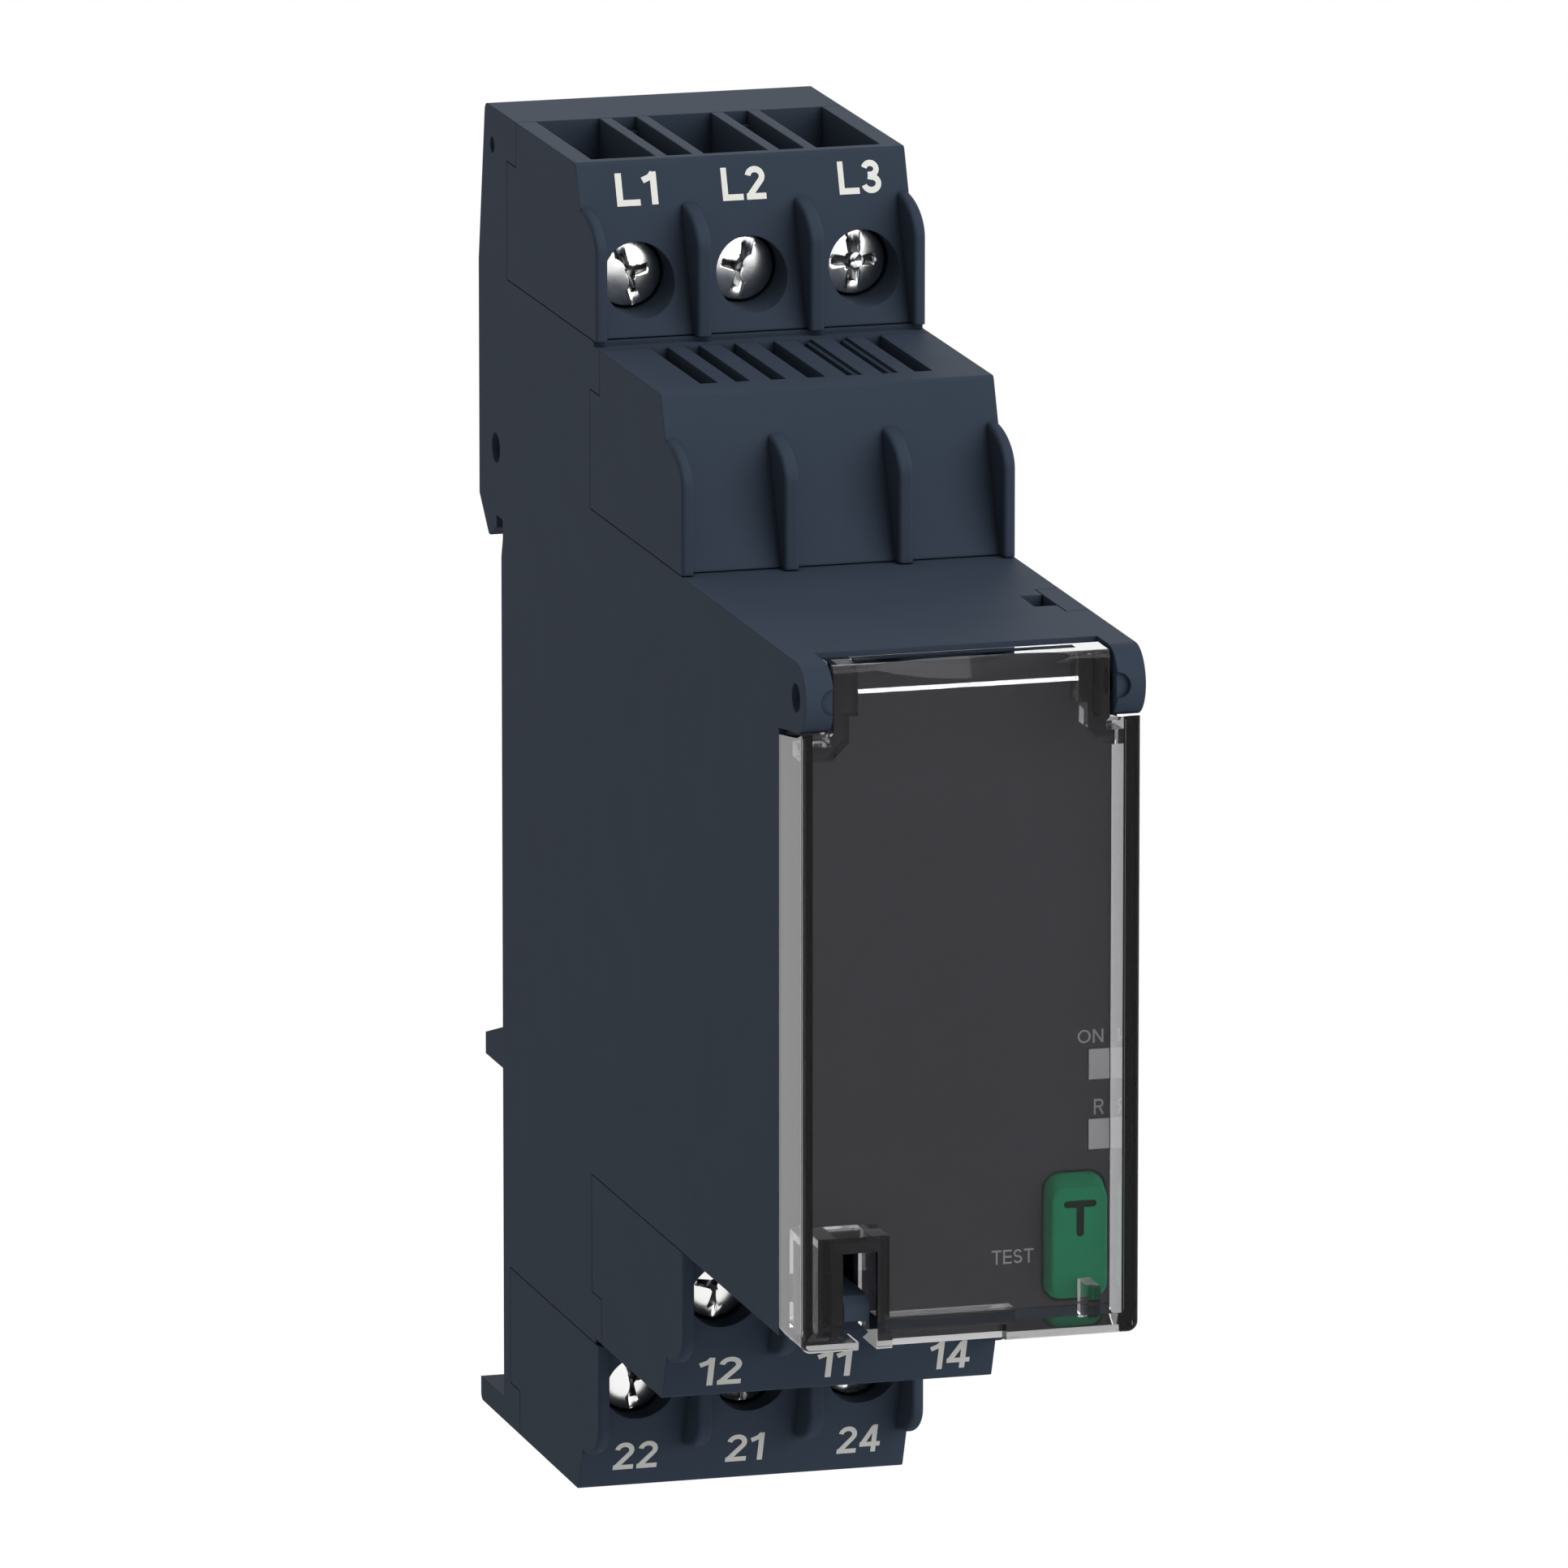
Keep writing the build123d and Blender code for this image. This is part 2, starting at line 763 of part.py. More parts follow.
# Test button: drafted cap, retaining flange and plunger rod
flange_front = -panel_face + panel_thickness + 0.2
flange_x = (button_x - button_width / 2 - 0.4, button_x + 1.0)
flange_z = (-nose + wall + 0.3, button_z + button_height / 2 + 0.45)
flange_back = flange_front + flange_thickness
rod_x = flange_x[0] + rod_r + 0.3
with BuildPart() as test_button:
    with BuildSketch(Plane.XZ.offset(panel_face)) as base:
        with Locations((button_x, button_z)):
            RectangleRounded(button_width, button_height, button_corner)
    extrude(base.sketch, amount=-(panel_thickness - button_travel - 0.1))
    with BuildSketch(Plane.XZ.offset(panel_face + button_proud)) as crown:
        with Locations((button_x, button_z - button_top_drop)):
            RectangleRounded(button_width - button_draft, button_top_height, button_corner * 0.8)
    loft([base.sketch, crown.sketch])
    fillet(test_button.faces().sort_by(Axis.Y)[0].edges(), button_edge)
    block(
        (rod_x - rod_r, rod_x + rod_r),
        (-panel_face + panel_thickness - button_travel - 0.1, flange_front),
        (button_z - 3, button_z + 3),
    )
    block(flange_x, (flange_front, flange_back), flange_z)
    with Locations(Plane.XZ.offset(-flange_back) * Location((rod_x, button_z, 0))):
        Cylinder(rod_r, rod_length, align=(Align.CENTER, Align.CENTER, Align.MAX))
save(test_button, "test_button")
switch_face = flange_back + rod_length

# Light pipes: a window in the panel and a stem back to each lamp
pipe_stem_x = (lamp_left - stem_offset, lamp_left + 0.15)
front_board_face = -front_board_back - board
for name, level in zip(("upper_light_pipe", "lower_light_pipe"), lamp_levels):
    with BuildPart() as light_pipe:
        block(
            (lamp_left, lamp_left + lamp_width - panel_gap),
            (-panel_face, -panel_face + panel_thickness),
            (level - lamp_height / 2, level + lamp_height / 2),
        )
        block(
            (pipe_stem_x[0], pipe_stem_x[1] + 0.15),
            (-panel_face + panel_thickness, -panel_face + panel_thickness + 1.4),
            (level - lamp_height * 0.4, level + lamp_height * 0.4),
        )
        block(
            pipe_stem_x,
            (-panel_face + panel_thickness, front_board_face - lamp_length - 0.1),
            (level - lamp_height * 0.4, level + lamp_height * 0.4),
        )
    save(light_pipe, name)

# Clear cover: hinged shell with a rolled top, two pin arms and the pocket round its latch window
cover_back = -panel_face - panel_gap
sweep_r = ear_r + cover_gap
front_top = hinge_z - sqrt(sweep_r**2 - (cover_front + hinge_y) ** 2)
knuckle_half = side - ear_length - cover_gap
roll_top = hinge_z + cover_flange_top
inner_front = -cover_front + cover_wall
window_right = window_left + window_width
cover_outline = [
    (cover_back, -nose),
    (cover_back, cover_top),
    (inner_front, cover_top + 0.6),
    (-cover_front, front_top),
    (-cover_front, -nose),
]

# rolled top between the ears, scooped along its front edge, with a slit behind the edge
scoop_r = (arm_inner**2 + scoop_rise**2) / (2 * scoop_rise)
scoop_plane = Plane(
    origin=(0, -cover_front, roll_top - roll_scoop),
    x_dir=(1, 0, 0),
    z_dir=(0, -cos(radians(scoop_tilt)), sin(radians(scoop_tilt))),
)
with BuildPart() as rolled_top:
    yz_prism(
        [
            (-cover_front, front_top - 2),
            (-cover_front, roll_top),
            (hinge_y + cover_flange_back, roll_top),
            (hinge_y + cover_flange_back, roll_top - roll_wall),
            (inner_front + roll_wall, roll_top - roll_wall),
            (inner_front, roll_top - 2 * roll_wall),
            (inner_front, front_top - 2),
        ],
        -knuckle_half,
        knuckle_half,
    )
    across = rolled_top.edges().filter_by(Axis.X)
    fillet(across.sort_by_distance((0, -cover_front, roll_top))[0], roll_edge)
    block(
        (-arm_inner, arm_inner),
        (slit_front - cover_front, slit_front + slit_depth - cover_front),
        (roll_top - 2 * roll_wall, roll_top),
        Mode.SUBTRACT,
    )
    with Locations(scoop_plane * Location((0, 0, scoop_r), (90, 0, 0))):
        Cylinder(scoop_r, 6, mode=Mode.SUBTRACT)

with BuildPart() as clear_cover:
    yz_prism(cover_outline, -side, side)
    fillet(clear_cover.edges().filter_by(Axis.Y).group_by(Axis.Z)[0], cover_corner)
    fillet(clear_cover.edges().filter_by(Axis.Z).group_by(Axis.Y)[0], cover_edge)
    # hollow, drafted so that the walls thin towards the housing
    with BuildSketch(Plane.XZ.offset(-cover_back)) as rim:
        with Locations((0, (cover_foot - wall) / 2)):
            Rectangle(width - 2 * cover_rim, nose_height - cover_foot + wall)
    with BuildSketch(Plane.XZ.offset(-inner_front)) as floor:
        with Locations((0, cover_wall / 2)):
            Rectangle(width - 2 * cover_side, nose_height - cover_wall)
    loft([rim.sketch, floor.sketch], mode=Mode.SUBTRACT)
    add(rolled_top.part)
    # pin arms with their stepped gussets
    for sign in (-1, 1):
        foot, step, shoulder = [nose - drop for drop in gusset_drops]
        with BuildSketch(Plane.XZ.offset(-inner_front)) as gusset:
            with BuildLine():
                Polyline(
                    (sign * (side - cover_side), foot),
                    (sign * (knuckle_half - 0.1), foot),
                    (sign * (arm_inner + arm_step), step),
                    (sign * (arm_inner + arm_step), shoulder),
                    (sign * arm_inner, shoulder),
                    (sign * arm_inner, roll_top - roll_wall / 2),
                    (sign * knuckle_half, roll_top - roll_wall / 2),
                    (sign * knuckle_half, cover_top),
                    (sign * (side - cover_side), cover_top),
                    close=True,
                )
            make_face()
        extrude(gusset.sketch, amount=-arm_depth)
        pin = (knuckle_half - arm_step, side - pin_recess)
        with Locations(Location((sign * sum(pin) / 2, hinge_y, hinge_z), (0, 90, 0))):
            Cylinder(hinge_bore_r - hinge_clearance, pin[1] - pin[0])
    # framed pocket round the latch window, open to the hook
    block(
        (window_left - pocket_left_wall, window_right + pocket_wall),
        (inner_front - cover_wall / 2, inner_front + pocket_depth),
        (-nose + cover_foot, pocket_roof - window_top),
    )
    block(
        (window_left, window_right),
        (-cover_front, cover_back),
        (-window_bottom, -window_top),
        Mode.SUBTRACT,
    )
    notch_left = window_right - seal_notch_width
    block((notch_left, window_right), (-cover_front, cover_back), (-nose, -window_bottom), Mode.SUBTRACT)
    # stiffening fin in front of the button
    block(
        (button_x + fin_x[0], button_x + fin_x[1]),
        (inner_front - cover_wall / 2, -panel_face - button_proud - 0.4),
        (-nose + cover_foot, -nose + fin_height),
    )
    # finger recess under the front edge, with its wall inside
    block(
        (finger_x[0] - finger_wall, finger_x[1] + finger_wall),
        (inner_front - cover_wall / 2, inner_front + 1.5),
        (-nose + cover_foot, -nose + finger_height + finger_wall),
    )
    block(
        finger_x,
        (-cover_front, -cover_front + finger_depth),
        (-nose, -nose + finger_height),
        Mode.SUBTRACT,
    )
save(clear_cover, "clear_cover")

# Rail clip: toothed slide in the back, with a screwdriver tab below and a coil spring
stem_back = -(channel_gap / 2)
stem_front = -(stem_thickness + channel_gap / 2)
lug_half = coil_r
with BuildPart() as rail_clip:
    yz_prism(
        [
            (jaw_gap, clip_seat),
            (jaw_depth, clip_seat - jaw_slope),
            (jaw_depth, clip_seat - jaw_height),
            (jaw_gap, clip_seat - jaw_height),
        ],
        -side + 0.3,
        side - 0.3,
    )
    half = stem_width / 2
    block((-half, half), (stem_front, jaw_gap), (clip_seat - jaw_height, clip_seat))
    block((-half, half), (stem_front, stem_back), (-top + 0.1, clip_seat))
    block((-half, half), (stem_front, foot_depth - 0.8), (-top + 0.1, -top + 0.1 + tab_height))
    slot_middle = foot_depth / 2 - channel_gap
    block(
        (-driver_slot[0] / 2, driver_slot[0] / 2),
        (slot_middle - driver_slot[1] / 2, slot_middle + driver_slot[1] / 2),
        (-top, foot_top),
        Mode.SUBTRACT,
    )
    block((-lug_half, lug_half), (stem_front, -stem_thickness - 2 * coil_half + 0.3),
          (-lug_top - lug_height, -lug_top))
save(rail_clip, "rail_clip")

coil_top = -lug_top - lug_height - 0.05
coil_height = pocket_bottom + coil_top - coil_wire - 0.05
with BuildPart() as clip_spring:
    with BuildLine() as turn:
        Helix(
            coil_height / coil_turns,
            coil_height,
            coil_r,
            center=(0, coil_y, -pocket_bottom + 0.05 + coil_wire / 2),
        )
    with BuildSketch(Plane(origin=turn.line @ 0, z_dir=turn.line % 0)):
        Circle(coil_wire / 2)
    sweep()
save(clip_spring, "clip_spring")

# Boards, relays and the other sealed parts
with BuildPart() as main_board:
    block(
        (board_x, board_x + board),
        (-front_board_back + board_margin, -clip_wall_back - 0.6),
        (6.2 - nose, nose - 2.3),
    )
    for spot in post_spots:
        with Locations(Plane.YZ.offset(board_x) * Location((*spot, 0))):
            Hole(post_hole_r)
save(main_board, "main_board")

for row, (shift, sign) in rows.items():
    ledge = row_ledge(row)
    board_face = ledge - sign * (wall + board * 0.75)
    rear_edge = -cavity_back - seam if sign > 0 else -clip_wall_back - seam
    with BuildPart() as terminal_board:
        block(
            (-inner_side + panel_gap, lid_face - panel_gap),
            (wall - bar_front - 9 - shift, 6 - bar_front - shift if shift else rear_edge),
            (board_face, board_face - sign * board),
        )
        for x in terminal_x:
            block(
                (x - bar_width / 2 - panel_gap, x + bar_width / 2 + panel_gap),
                (-bar_front - shift - panel_gap, -bar_front + bar_thickness - shift + panel_gap),
                (board_face, board_face - sign * board),
                Mode.SUBTRACT,
            )
    save(terminal_board, f"{row}_terminal_board")

with BuildPart() as front_board:
    block(
        (-inner_side + panel_gap, lid_face - panel_gap),
        (front_board_face, -front_board_back),
        (wall + 0.4 - nose, nose - wall - 0.4),
    )
save(front_board, "front_board")

with BuildPart() as push_switch:
    block(
        (rod_x - switch_half, rod_x + switch_half),
        (switch_face + 0.9, front_board_face - panel_gap),
        (button_z - switch_half, button_z + switch_half),
    )
    with Locations(Location((rod_x, switch_face + 1, button_z), (90, 0, 0))):
        Cylinder(plunger_r + 0.06, 3, mode=Mode.SUBTRACT)
save(push_switch, "push_switch")

with BuildPart() as switch_plunger:
    with Locations(Plane.XZ.offset(-switch_face - 0.03) * Location((rod_x, button_z, 0))):
        Cylinder(plunger_r, plunger_length, align=(Align.CENTER, Align.CENTER, Align.MAX))
save(switch_plunger, "switch_plunger")

for name, level in zip(("upper_lamp", "lower_lamp"), lamp_levels):
    with BuildPart() as lamp:
        block(
            (pipe_stem_x[0] - 0.3, pipe_stem_x[1] + 0.1),
            (front_board_face - lamp_length, front_board_face - panel_gap),
            (level - lamp_half, level + lamp_half),
        )
    save(lamp, name)

part_face = board_x - panel_gap
for i in range(2):
    relay_y = -front_board_back + 10.5 + i * relay_pitch
    with BuildPart() as relay:
        with Locations((part_face - relay_size[0] / 2, relay_y, 0)):
            Box(*relay_size)
        fillet(relay.edges().filter_by(Axis.X), 0.5)
    save(relay, f"output_relay_{i + 1}")

with BuildPart() as transformer:
    with Locations((part_face - core_size[0] / 2, -16, 0.5)):
        Box(*core_size)
        Box(*coil_size)
save(transformer, "transformer")

with BuildPart() as capacitor:
    with Locations(Location((part_face - capacitor_length / 2, -14, nose - 7.3), (0, 90, 0))):
        Cylinder(capacitor_r, capacitor_length)
save(capacitor, "capacitor")
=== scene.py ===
from math import cos, pi, radians, sin

import bmesh
import bpy
from mathutils import Matrix, Vector
from mathutils.geometry import delaunay_2d_cdt


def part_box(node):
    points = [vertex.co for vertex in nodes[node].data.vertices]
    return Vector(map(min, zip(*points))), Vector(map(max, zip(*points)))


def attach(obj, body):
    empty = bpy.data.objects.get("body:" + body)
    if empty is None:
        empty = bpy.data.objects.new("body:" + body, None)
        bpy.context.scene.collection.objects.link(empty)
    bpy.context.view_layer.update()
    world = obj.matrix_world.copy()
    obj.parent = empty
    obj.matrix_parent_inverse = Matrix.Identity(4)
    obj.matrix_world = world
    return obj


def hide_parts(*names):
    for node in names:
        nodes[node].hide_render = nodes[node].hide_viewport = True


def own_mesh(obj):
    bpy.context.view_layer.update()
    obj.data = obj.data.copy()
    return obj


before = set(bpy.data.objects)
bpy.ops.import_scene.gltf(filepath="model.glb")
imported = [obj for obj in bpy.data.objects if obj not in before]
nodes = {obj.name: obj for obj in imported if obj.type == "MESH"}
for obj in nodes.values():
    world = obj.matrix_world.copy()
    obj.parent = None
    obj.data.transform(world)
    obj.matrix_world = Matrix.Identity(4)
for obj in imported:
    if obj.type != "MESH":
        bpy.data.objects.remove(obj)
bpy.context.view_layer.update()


# Housing. The tub, its side lid, the four snap-on shrouds and the rail clip are moulded in one blue-grey
# polyamide. The moulds are finely eroded, so every face is matt with a faint mottle, with softened edges.
MM = 0.001
# share of a colour left where shade is painted into crevices
painted_crevice_shade = 0.35
plastic_gloss = 0.01


def shader(name):
    """A new node material: gives the material, its node tree and its Principled shader."""
    material = bpy.data.materials.new(name)
    material.use_nodes = True
    tree = material.node_tree
    return material, tree, tree.nodes["Principled BSDF"]


def node(tree, kind, **values):
    """Add a node; a value named after an input sets it, any other sets a property."""
    made = tree.nodes.new(kind)
    for key, value in values.items():
        socket = made.inputs.get(key.replace("_", " ").title())
        if socket is None:
            setattr(made, key, value)
        else:
            socket.default_value = value
    return made


def mixed(tree, factor, first, second):
    """Mix two colours by a value that varies over the surface; the second may be another socket."""
    mix = node(tree, "ShaderNodeMix", data_type="RGBA")
    factor_in, first_in, second_in = mix.inputs[0], mix.inputs[6], mix.inputs[7]
    tree.links.new(factor, factor_in)
    first_in.default_value = (*first, 1)
    if isinstance(second, bpy.types.NodeSocket):
        tree.links.new(second, second_in)
    else:
        second_in.default_value = (*second, 1)
    return mix.outputs[2]


def dress(material, *names):
    """Give CAD nodes one material in place of their own."""
    for name in names:
        mesh = nodes[name].data
        mesh.materials.clear()
        mesh.materials.append(material)


def group(name, inputs, outputs):
    """A new shader group with float inputs and their defaults, and float outputs."""
    tree = bpy.data.node_groups.new(name, "ShaderNodeTree")
    for label, default in inputs.items():
        socket = tree.interface.new_socket(label, in_out="INPUT", socket_type="NodeSocketFloat")
        socket.default_value = default
    for label in outputs:
        tree.interface.new_socket(label, in_out="OUTPUT", socket_type="NodeSocketFloat")
    return tree, tree.nodes.new("NodeGroupInput"), tree.nodes.new("NodeGroupOutput")


def moulded_surface_and_shade():
    """Effect: the eroded texture of a mould as a height, a slow mottle, and how open each spot is for
    painted crevice shade, in mm.
    """
    tree, start, end = group(
        "moulded surface and painted shade",
        {"Grain size": 0.15, "Mottle size": 6.0, "Crevice reach": 0.4},
        ["Height", "Mottle", "Open"],
    )
    place = node(tree, "ShaderNodeTexCoord")
    for label, detail, output in (("Grain size", 2.0, "Height"), ("Mottle size", 3.0, "Mottle")):
        scale = node(tree, "ShaderNodeMath", operation="DIVIDE")
        scale.inputs[0].default_value = 1 / MM
        tree.links.new(start.outputs[label], scale.inputs[1])
        noise = node(tree, "ShaderNodeTexNoise", detail=detail)
        tree.links.new(place.outputs["Object"], noise.inputs["Vector"])
        tree.links.new(scale.outputs[0], noise.inputs["Scale"])
        tree.links.new(noise.outputs["Fac"], end.inputs[output])
    reach = node(tree, "ShaderNodeMath", operation="MULTIPLY")
    reach.inputs[1].default_value = MM
    tree.links.new(start.outputs["Crevice reach"], reach.inputs[0])
    # ambient occlusion: how open each spot is, used to paint shade into the colour of crevices
    shade = node(tree, "ShaderNodeAmbientOcclusion", samples=4)
    tree.links.new(reach.outputs[0], shade.inputs["Distance"])
    tree.links.new(shade.outputs["AO"], end.inputs["Open"])
    return tree


moulded = moulded_surface_and_shade()


def moulded_plastic(name, dark, light, rough, grain=0.15, depth=0.01, edge=0.12):
    """Moulded plastic: two close tones by mottle, shade painted into crevices, grain in the bump and
    rounded edges.

    The grain's size and depth and the rounding of edges are in mm.
    """
    material, tree, skin = shader(name)
    effect = node(tree, "ShaderNodeGroup", node_tree=moulded)
    effect.inputs["Grain size"].default_value = grain
    tone = mixed(tree, effect.outputs["Mottle"], dark, light)
    # painted shade: a darker colour laid into crevices by ambient occlusion
    painted_shade = [painted_crevice_shade * part for part in dark]
    tree.links.new(mixed(tree, effect.outputs["Open"], painted_shade, tone), skin.inputs["Base Color"])
    round_edges = node(tree, "ShaderNodeBevel", samples=6, radius=edge * MM)
    bump = node(tree, "ShaderNodeBump", strength=0.35, distance=depth * MM)
    tree.links.new(effect.outputs["Height"], bump.inputs["Height"])
    tree.links.new(round_edges.outputs["Normal"], bump.inputs["Normal"])
    tree.links.new(bump.outputs["Normal"], skin.inputs["Normal"])
    skin.inputs["Roughness"].default_value = rough
    skin.inputs["Specular IOR Level"].default_value = plastic_gloss
    return material


housing_plastic = moulded_plastic(
    "blue_grey_polyamide", dark=(0.031, 0.042, 0.061), light=(0.035, 0.047, 0.068), rough=0.6
)
dress(
    housing_plastic,
    "housing_tub",
    "side_lid",
    "upper_terminal_shroud",
    "vent_shroud",
    "lower_front_shroud",
    "lower_rear_shroud",
    "rail_clip",
)


# Terminals. Nine pan-head screws of steel, rolled with an M3 thread and plated in bright nickel, each in a
# zinc-plated cage that climbs along it, and a tinned brass bar through each cage.
def speckle(tree, scale, detail):
    """Noise in the piece's own coordinates."""
    place = node(tree, "ShaderNodeTexCoord")
    noise = node(tree, "ShaderNodeTexNoise", scale=scale, detail=detail)
    tree.links.new(place.outputs["Object"], noise.inputs["Vector"])
    return noise.outputs["Fac"]


def spread(tree, value, low, high):
    """Spread a value of 0 to 1 between two others."""
    wider = node(tree, "ShaderNodeMapRange", to_min=low, to_max=high)
    tree.links.new(value, wider.inputs["Value"])
    return wider.outputs["Result"]


def metal(name, colour, rough, streak=0.0, edge=0.06):
    """Plated metal: roughness uneven by a tenth, and more by streak; corners rounded by edge in mm."""
    material, tree, skin = shader(name)
    skin.inputs["Base Color"].default_value = (*colour, 1)
    skin.inputs["Metallic"].default_value = 1.0
    uneven = spread(tree, speckle(tree, 2400.0, 2.0), rough * 0.9, rough * 1.1 + streak)
    tree.links.new(uneven, skin.inputs["Roughness"])
    round_edges = node(tree, "ShaderNodeBevel", samples=4, radius=edge * MM)
    tree.links.new(round_edges.outputs["Normal"], skin.inputs["Normal"])
    return material


screw_metal = metal("bright_nickel", colour=(0.93, 0.93, 0.92), rough=0.22, edge=0.02)
# the same nickel painted darker, as shade, for the faces in each head's cross recess
recess_painted_shade = metal("nickel_painted_shade_in_recess", colour=(0.34, 0.34, 0.35), rough=0.3, edge=0.02)
cage_metal = metal("zinc_plate", colour=(0.62, 0.63, 0.62), rough=0.35, streak=0.15)
bar_metal = metal("tinned_brass", colour=(0.78, 0.70, 0.55), rough=0.3, streak=0.1)


def thread_tree(steps_a_turn=28, ridge_sides=4, core_sides=40):
    """Geometry: a closed core along Z with a ridge wound round it."""
    tree = bpy.data.node_groups.new("screw thread", "GeometryNodeTree")
    for label, kind in (
        ("Crest radius", "NodeSocketFloat"),
        ("Ridge", "NodeSocketFloat"),
        ("Pitch", "NodeSocketFloat"),
        ("Turns", "NodeSocketFloat"),
        ("Metal", "NodeSocketMaterial"),
    ):
        tree.interface.new_socket(label, in_out="INPUT", socket_type=kind)
    tree.interface.new_socket("Geometry", in_out="OUTPUT", socket_type="NodeSocketGeometry")
    start, end = tree.nodes.new("NodeGroupInput"), tree.nodes.new("NodeGroupOutput")
    link = tree.links.new
    root = node(tree, "ShaderNodeMath", operation="SUBTRACT")
    link(start.outputs["Crest radius"], root.inputs[0])
    link(start.outputs["Ridge"], root.inputs[1])
    length = node(tree, "ShaderNodeMath", operation="MULTIPLY")
    link(start.outputs["Pitch"], length.inputs[0])
    link(start.outputs["Turns"], length.inputs[1])
    helix = node(tree, "GeometryNodeCurveSpiral", resolution=steps_a_turn)
    link(start.outputs["Turns"], helix.inputs["Rotations"])
    link(root.outputs[0], helix.inputs["Start Radius"])
    link(root.outputs[0], helix.inputs["End Radius"])
    link(length.outputs[0], helix.inputs["Height"])
    upright = node(tree, "GeometryNodeSetCurveNormal", mode="Z_UP")
    link(helix.outputs[0], upright.inputs[0])
    profile = node(tree, "GeometryNodeCurvePrimitiveCircle", resolution=ridge_sides)
    link(start.outputs["Ridge"], profile.inputs["Radius"])
    ridge = node(tree, "GeometryNodeCurveToMesh", fill_caps=True)
    link(upright.outputs[0], ridge.inputs["Curve"])
    link(profile.outputs[0], ridge.inputs["Profile Curve"])
    core = node(tree, "GeometryNodeMeshCylinder", vertices=core_sides)
    link(root.outputs[0], core.inputs["Radius"])
    link(length.outputs[0], core.inputs["Depth"])
    half = node(tree, "ShaderNodeMath", operation="MULTIPLY")
    half.inputs[1].default_value = 0.5
    link(length.outputs[0], half.inputs[0])
    raise_by = node(tree, "ShaderNodeCombineXYZ")
    link(half.outputs[0], raise_by.inputs["Z"])
    lift = node(tree, "GeometryNodeTransform")
    link(core.outputs[0], lift.inputs["Geometry"])
    link(raise_by.outputs[0], lift.inputs["Translation"])
    join = node(tree, "GeometryNodeJoinGeometry")
    link(ridge.outputs[0], join.inputs[0])
    link(lift.outputs[0], join.inputs[0])
    realize = node(tree, "GeometryNodeRealizeInstances")
    link(join.outputs[0], realize.inputs[0])
    coat = node(tree, "GeometryNodeSetMaterial")
    link(realize.outputs[0], coat.inputs["Geometry"])
    link(start.outputs["Metal"], coat.inputs["Material"])
    link(coat.outputs[0], end.inputs[0])
    return tree


def placed(name, data):
    """A new object of the scene, at the origin."""
    made = bpy.data.objects.new(name, data)
    bpy.context.scene.collection.objects.link(made)
    return made


def finished(worked):
    """The plain mesh that an object's modifiers give."""
    bpy.context.view_layer.update()
    evaluated = worked.evaluated_get(bpy.context.evaluated_depsgraph_get())
    return bpy.data.meshes.new_from_object(evaluated)


screw_length = 7.02 * MM  # from the rim of the head to the tip
head_height = 1.5 * MM
neck = 0.5 * MM
pitch = 0.5 * MM
bare_turns = 0.5
thread_values = {
    "Crest radius": 1.5 * MM,
    "Ridge": 0.2 * MM,
    "Pitch": pitch,
    "Turns": (screw_length - head_height - neck) / pitch - bare_turns,
    "Metal": screw_metal,
}
carrier = placed("thread_carrier", bpy.data.meshes.new("thread_carrier"))
winding = carrier.modifiers.new("thread", "NODES")
winding.node_group = thread_tree()
for item in winding.node_group.interface.items_tree:
    if item.in_out == "INPUT":
        winding[item.identifier] = thread_values[item.name]
thread = finished(carrier)
bpy.data.objects.remove(carrier)

same_spot = 1e-7
sharp_angle = radians(35)


def merged_form(name):
    """A copy of a CAD node's mesh to work on, with its loose triangles merged."""
    form = bmesh.new()
    form.from_mesh(nodes[name].data)
    bmesh.ops.remove_doubles(form, verts=form.verts, dist=same_spot)
    return form


def mesh_of(form, name):
    """A mesh from a worked form, which is then freed."""
    mesh = bpy.data.meshes.new(name)
    form.to_mesh(mesh)
    form.free()
    return mesh


crown_share = 0.4  # height of the crown, as a share of the solid's
neck_start = 0.6  # where the neck meets the thread, as a share of its length
recess_radius = 1.95 * MM
corner_room = 0.1 * MM
face_room = 0.05 * MM


def threaded_screw(name, turned):
    """A terminal screw: its CAD head, turned and with a flatter crown, a short neck and the thread; its
    cross recess painted darker as shade.
    """
    low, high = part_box(name)
    rim = high.y - screw_length
    under_head = rim + head_height
    form = merged_form(name)
    for corner in form.verts:
        if corner.co.y < rim:
            corner.co.y = rim + (corner.co.y - rim) * crown_share
        elif corner.co.y > high.y - corner_room:
            corner.co.y = under_head + neck
        elif corner.co.y > under_head + corner_room:
            corner.co.y = under_head + neck * neck_start
    x = (low.x + high.x) / 2
    z = (low.z + high.z) / 2
    on_axis = Matrix.Translation((x, 0, z))
    form.transform(on_axis @ Matrix.Rotation(radians(turned), 4, "Y") @ on_axis.inverted())
    wound = thread.copy()
    foot = Matrix.Translation((x, under_head + neck * neck_start, z))
    wound.transform(foot @ Matrix.Rotation(-pi / 2, 4, "X"))
    form.from_mesh(wound)
    bpy.data.meshes.remove(wound)
    mesh = mesh_of(form, f"{name}_threaded")
    mesh.materials.append(screw_metal)
    mesh.materials.append(recess_painted_shade)
    # faces in the cross recess take the darker nickel: painted shade
    for face in mesh.polygons:
        spot = face.center
        inside = rim + face_room < spot.y < under_head - face_room
        near_axis = (spot.x - x) ** 2 + (spot.z - z) ** 2 < recess_radius**2
        face.material_index = 1 if inside and near_axis else 0
    mesh.set_sharp_from_angle(angle=sharp_angle)
    made = placed(f"{name}_threaded", mesh)
    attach(made, name)
    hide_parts(name)


# degrees by which each head's cross is turned, from left to right
turned_heads = {"upper": (-17, 15, 1), "front": (12, -20, 6), "rear": (-10, 9, 22)}
for row, turns in turned_heads.items():
    for place, turned in enumerate(turns, start=1):
        threaded_screw(f"{row}_screw_{place}", turned)
        dress(cage_metal, f"{row}_cage_{place}")
        dress(bar_metal, f"{row}_contact_{place}")


